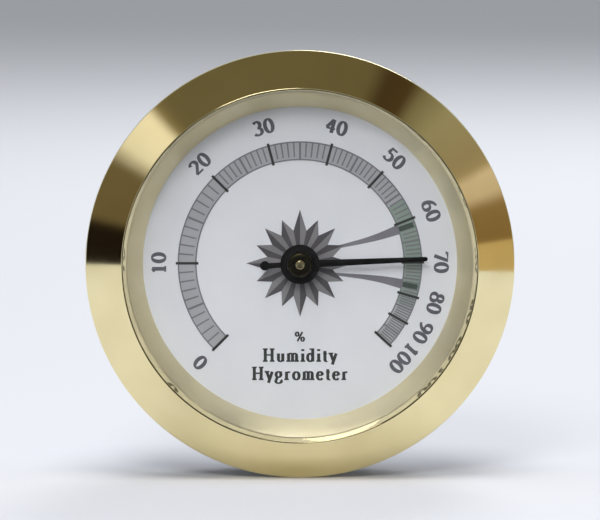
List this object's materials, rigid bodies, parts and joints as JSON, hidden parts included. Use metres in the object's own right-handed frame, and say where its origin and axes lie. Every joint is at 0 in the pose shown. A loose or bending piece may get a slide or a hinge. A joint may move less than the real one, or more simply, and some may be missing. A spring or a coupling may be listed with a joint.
{
  "type": "dial hygrometer",
  "caption": "Round brass-bezelled dial hygrometer that presses into a panel hole, with a pointer driven by a humidity coil and a slotted calibration stem at the back.",
  "frame": {"origin": "on the dial's axis, in the plane where the bezel's rear face meets the panel", "axes": "+Y along the dial's axis from the glass to the back cover, so the face looks towards -Y; +Z towards the top of the dial"},
  "size_m": [0.05, 0.0165, 0.05],
  "materials": {
    "polished_brass": "polished and lacquered",
    "pale_gilt": "satin gilt",
    "turned_brass": "turned",
    "blackened_brass": "turned and blackened",
    "sheet_brass": "stamped sheet",
    "glass": "clear",
    "seal_rubber": "matt",
    "band_rubber": "matt",
    "dial_white": "white lacquer with a printed scale",
    "case_plastic": "moulded black",
    "steel": "bright",
    "pointer_black": "black lacquer",
    "coil_metal": "bright rolled strip",
    "coil_paper": "treated paper"
  },
  "bodies": {
    "case": {"bezel": "polished_brass", "lens": "glass", "lens_gasket": "seal_rubber", "sloping_ring": "pale_gilt", "dial_plate": "dial_white", "case_body": "case_plastic", "friction_band": "band_rubber", "back_cover": "case_plastic", "back_cover_screws": "steel", "movement_plate": "sheet_brass", "movement_screws": "steel", "front_bush": "turned_brass", "bridge_pillars": "turned_brass", "rear_bridge": "sheet_brass", "bridge_screws": "steel"},
    "calibration": {"calibration_stem": "turned_brass", "calibration_arm": "sheet_brass", "friction_washer": "steel", "coil_metal_strip": "coil_metal", "coil_humidity_layer": "coil_paper", "coil_rivet": "turned_brass"},
    "pointer": {"arbor": "turned_brass", "pointer": "pointer_black", "pointer_boss": "blackened_brass", "coil_collet": "turned_brass"}
  },
  "joints": [
    {"name": "calibration_turn", "type": "hinge", "parent": "case", "child": "calibration", "pos_m": [0, 0, 0], "axis": [0, 1, 0], "range_deg": [-20, 20]},
    {"name": "pointer_turn", "type": "hinge", "parent": "calibration", "child": "pointer", "pos_m": [0, 0, 0], "axis": [0, 1, 0], "range_deg": [-222.6, 44.9], "stiffness_Nm_per_rad": 0.00018, "deforming": ["coil_metal_strip", "coil_humidity_layer"]}
  ]
}
